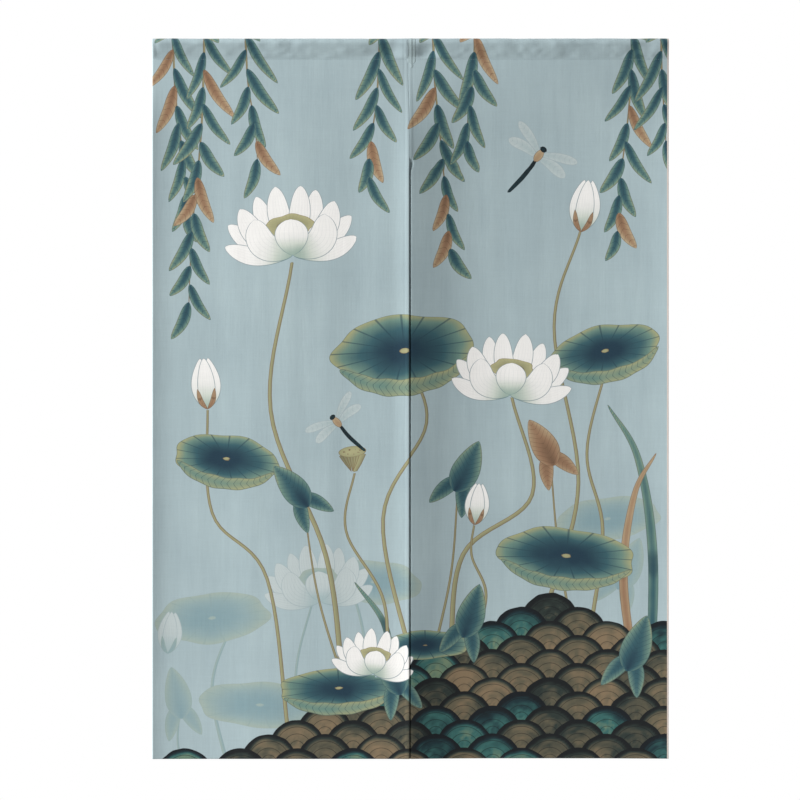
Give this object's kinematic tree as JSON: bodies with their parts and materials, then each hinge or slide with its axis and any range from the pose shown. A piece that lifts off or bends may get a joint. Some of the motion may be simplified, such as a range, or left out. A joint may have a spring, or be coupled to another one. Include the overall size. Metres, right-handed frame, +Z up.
{
  "type": "noren door curtain",
  "caption": "Two-panel hanging door curtain with a rod sleeve along its top, its panels joined for the top 210 mm with a centre slit below, and narrow hems, printed on the front.",
  "frame": {"origin": "middle of the curtain's top edge, at the top of the rod sleeve", "axes": "+Z up, -Y the printed front, +X to the viewer's right"},
  "size_m": [0.8605, 0.0209, 1.2011],
  "materials": {
    "printed_cloth": "plain-woven linen-look cloth in dusty blue, printed on the front with plants over a dark band",
    "join_cloth": "narrow strip of the same plain-woven cloth, sewn down"
  },
  "bodies": {
    "root": {"left_panel": "printed_cloth", "right_panel": "printed_cloth", "left_sleeve": "printed_cloth", "right_sleeve": "printed_cloth", "join_strip": "join_cloth"}
  },
  "joints": []
}
